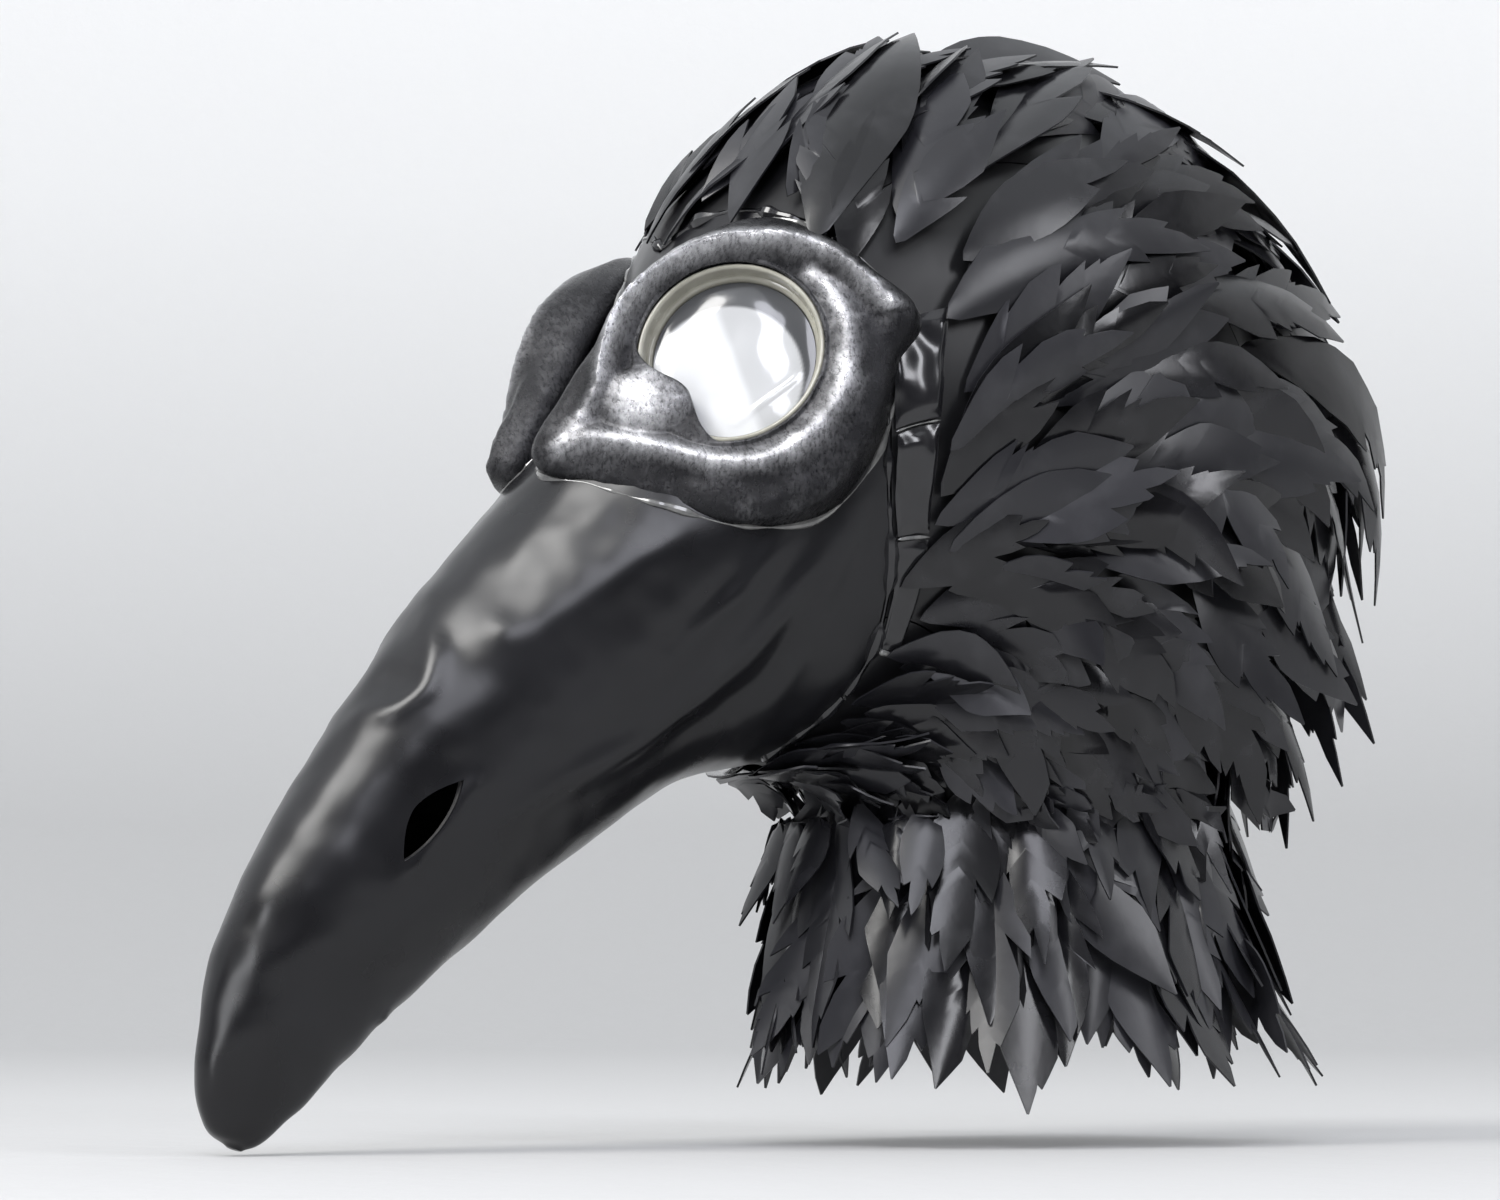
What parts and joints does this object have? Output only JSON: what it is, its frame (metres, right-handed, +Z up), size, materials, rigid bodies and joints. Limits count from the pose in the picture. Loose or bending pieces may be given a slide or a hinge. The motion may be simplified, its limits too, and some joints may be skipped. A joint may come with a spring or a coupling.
{
  "type": "plague doctor mask",
  "caption": "Full-head raven plague doctor mask with a long curved beak, ringed round lenses, an overlapping cut-sheet feather hood and an inner strap with a sliding keeper.",
  "frame": {"origin": "inside the head cavity at eye level, in the middle plane, where the wearer's head carries the mask", "axes": "-Y is the way the wearer faces, +X is the wearer's left, +Z is up"},
  "size_m": [0.229, 0.4981, 0.4315],
  "materials": {
    "black_vinyl": "semi-gloss formed black vinyl with soft folds",
    "former": "unpainted grey thermoplastic, hidden under the skin",
    "pewter": "sculpted plastic painted black and rubbed with pewter",
    "cream_plastic": "ivory moulded tube",
    "clear_plastic": "clear sheet, slightly crinkled",
    "gloss_vinyl": "glossy black glued strip",
    "hood_sheet": "black sheet panel",
    "feather_sheet": "thin satin black sheet cut into slit feathers",
    "foam": "soft black foam with a fabric face",
    "webbing": "woven elastic",
    "nickel": "nickel-plated rivet",
    "slider_plastic": "moulded black keeper"
  },
  "bodies": {
    "mask": {"back_pad": "foam", "beak_frame_left": "former", "beak_frame_right": "former", "beak_skin": "black_vinyl", "beak_tip_core": "former", "cheek_pad_left": "foam", "cheek_pad_right": "foam", "chin_tuft": "feather_sheet", "crown_pad": "foam", "eye_surround_left": "pewter", "eye_surround_right": "pewter", "feather_row_1": "feather_sheet", "feather_row_2": "feather_sheet", "feather_row_3": "feather_sheet", "feather_row_4": "feather_sheet", "feather_row_5": "feather_sheet", "feather_row_6": "feather_sheet", "feather_row_7": "feather_sheet", "feather_row_8": "feather_sheet", "forehead_pad": "foam", "head_strap": "webbing", "hood_back": "hood_sheet", "hood_collar_left": "hood_sheet", "hood_collar_right": "hood_sheet", "hood_crown": "hood_sheet", "hood_side_left": "hood_sheet", "hood_side_right": "hood_sheet", "hood_throat": "hood_sheet", "jaw_row_1": "feather_sheet", "jaw_row_2": "feather_sheet", "jaw_row_3": "feather_sheet", "lens_left": "clear_plastic", "lens_retainer_left": "cream_plastic", "lens_retainer_right": "cream_plastic", "lens_right": "clear_plastic", "lens_ring_left": "cream_plastic", "lens_ring_right": "cream_plastic", "neck_row_1": "feather_sheet", "neck_row_2": "feather_sheet", "neck_row_3": "feather_sheet", "strap_anchor_left": "former", "strap_anchor_right": "former", "strap_rivet_left": "nickel", "strap_rivet_right": "nickel", "temple_patch_lower_left": "gloss_vinyl", "temple_patch_lower_right": "gloss_vinyl", "temple_patch_middle_left": "gloss_vinyl", "temple_patch_middle_right": "gloss_vinyl", "temple_patch_upper_left": "gloss_vinyl", "temple_patch_upper_right": "gloss_vinyl"},
    "keeper": {"strap_slider": "slider_plastic"}
  },
  "joints": [
    {"name": "keeper_slide", "type": "slide", "parent": "mask", "child": "keeper", "axis": [0, 1, 0], "range_m": [-0.013, 0.016]}
  ]
}
